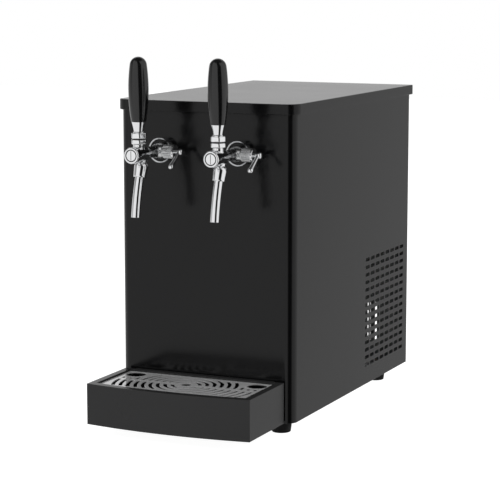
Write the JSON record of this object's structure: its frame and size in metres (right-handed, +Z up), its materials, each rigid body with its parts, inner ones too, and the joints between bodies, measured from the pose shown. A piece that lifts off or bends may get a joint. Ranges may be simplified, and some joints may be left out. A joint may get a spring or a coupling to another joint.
{
  "type": "beer tap cooler",
  "caption": "Countertop drink cooler: black wrapped cabinet with flat lid, chrome lever taps with flow levers, and a bowed drip tray under a lift-out grille.",
  "frame": {"origin": "on the counter, under the middle of the machine's bounding box", "axes": "+X to the right of someone facing the taps, +Y to the rear, +Z up"},
  "size_m": [0.2686, 0.6, 0.5089],
  "materials": {
    "black_paint": "smooth semi-gloss black coat",
    "zinc_steel": "zinc-plated sheet",
    "black_rubber": "moulded matt rubber",
    "pot_paint": "black enamel",
    "black_plastic": "fine moulded grain",
    "handle_plastic": "polished moulded black",
    "bare_aluminium": "milled and rolled aluminium",
    "copper_tube": "drawn copper tube",
    "foam": "cut rigid foam",
    "clear_hose": "milky drink hose",
    "fitting_plastic": "moulded grey acetal",
    "thermostat_case": "pressed case",
    "grille_steel": "polished punched sheet",
    "stainless": "turned stainless steel",
    "tap_chrome": "polished chrome plating"
  },
  "bodies": {
    "cabinet": {"cabinet_shell": "black_paint", "rear_panel": "black_paint", "top_lid": "black_paint", "base_pan": "zinc_steel", "fan_shroud": "zinc_steel", "fan_bracket": "zinc_steel", "block_shelf": "zinc_steel", "case_screws": "zinc_steel", "tray_cleat": "zinc_steel", "shank_nuts": "zinc_steel", "tap_shanks": "zinc_steel", "rubber_feet": "black_rubber", "compressor_mounts": "black_rubber", "compressor": "pot_paint", "fan_motor": "pot_paint", "relay_cover": "black_plastic", "switch_frame": "black_plastic", "power_inlet": "black_plastic", "condenser_fins": "bare_aluminium", "cold_block": "bare_aluminium", "condenser_tube": "copper_tube", "filter_drier": "copper_tube", "discharge_line": "copper_tube", "liquid_line": "copper_tube", "capillary_tube": "copper_tube", "suction_line": "copper_tube", "insulation_front": "foam", "insulation_rear": "foam", "beer_lines": "clear_hose", "beer_inlet_left": "fitting_plastic", "beer_inlet_right": "fitting_plastic", "thermostat": "thermostat_case", "rosette_left": "tap_chrome", "rosette_right": "tap_chrome", "tap_body_left": "tap_chrome", "tap_body_right": "tap_chrome", "front_cap_left": "tap_chrome", "front_cap_right": "tap_chrome", "lever_collar_left": "tap_chrome", "lever_collar_right": "tap_chrome", "spout_left": "tap_chrome", "spout_right": "tap_chrome", "flow_bonnet_left": "tap_chrome", "flow_bonnet_right": "tap_chrome"},
    "tap_lever_left_body": {"tap_lever_left": "stainless", "lever_ferrule_left": "tap_chrome", "tap_handle_left": "handle_plastic"},
    "tap_lever_right_body": {"tap_lever_right": "stainless", "lever_ferrule_right": "tap_chrome", "tap_handle_right": "handle_plastic"},
    "plunger_left_body": {"tap_plunger_left": "stainless"},
    "plunger_right_body": {"tap_plunger_right": "stainless"},
    "flow_left_body": {"flow_lever_left": "tap_chrome"},
    "flow_right_body": {"flow_lever_right": "tap_chrome"},
    "tray_body": {"drip_tray": "black_paint", "tray_bumpers": "black_rubber"},
    "grille_body": {"drip_grille": "grille_steel"},
    "fan_body": {"fan_blade": "black_plastic"},
    "dial_body": {"thermostat_knob": "black_plastic"},
    "rocker_body": {"switch_rocker": "black_plastic"}
  },
  "joints": [
    {"name": "tap_left_pull", "type": "hinge", "parent": "cabinet", "child": "tap_lever_left_body", "pos_m": [-0.062, -0.244, 0.3944], "axis": [1, 0, 0], "range_deg": [-15, 25]},
    {"name": "plunger_left_slide", "type": "slide", "parent": "cabinet", "child": "plunger_left_body", "axis": [0, 1, 0], "range_m": [-0.0042, 0.0068]},
    {"name": "flow_left_turn", "type": "hinge", "parent": "cabinet", "child": "flow_left_body", "pos_m": [-0.062, -0.1946, 0.3794], "axis": [1, 0, 0], "range_deg": [-60, 60]},
    {"name": "tap_right_pull", "type": "hinge", "parent": "cabinet", "child": "tap_lever_right_body", "pos_m": [0.054, -0.244, 0.3944], "axis": [1, 0, 0], "range_deg": [-15, 25]},
    {"name": "plunger_right_slide", "type": "slide", "parent": "cabinet", "child": "plunger_right_body", "axis": [0, 1, 0], "range_m": [-0.0042, 0.0068]},
    {"name": "flow_right_turn", "type": "hinge", "parent": "cabinet", "child": "flow_right_body", "pos_m": [0.054, -0.1946, 0.3794], "axis": [1, 0, 0], "range_deg": [-60, 60]},
    {"name": "tray_lift", "type": "slide", "parent": "cabinet", "child": "tray_body", "axis": [0, 0, 1], "range_m": [0, 0.12]},
    {"name": "grille_lift", "type": "slide", "parent": "tray_body", "child": "grille_body", "axis": [0, 0, 1], "range_m": [0, 0.08]},
    {"name": "fan_spin", "type": "hinge", "parent": "cabinet", "child": "fan_body", "pos_m": [0, 0.078, 0.1052], "axis": [0, 1, 0], "continuous": true},
    {"name": "dial_turn", "type": "hinge", "parent": "cabinet", "child": "dial_body", "pos_m": [-0.085, 0.283, 0.265], "axis": [0, 1, 0], "range_deg": [0, 270]},
    {"name": "switch_rock", "type": "hinge", "parent": "cabinet", "child": "rocker_body", "pos_m": [0.05, 0.275, 0.265], "axis": [1, 0, 0], "range_deg": [0, 16]}
  ],
  "couplings": [
    {"joint": "plunger_left_slide", "follows": "tap_left_pull", "m_per_rad": 0.015},
    {"joint": "plunger_right_slide", "follows": "tap_right_pull", "m_per_rad": 0.015}
  ]
}
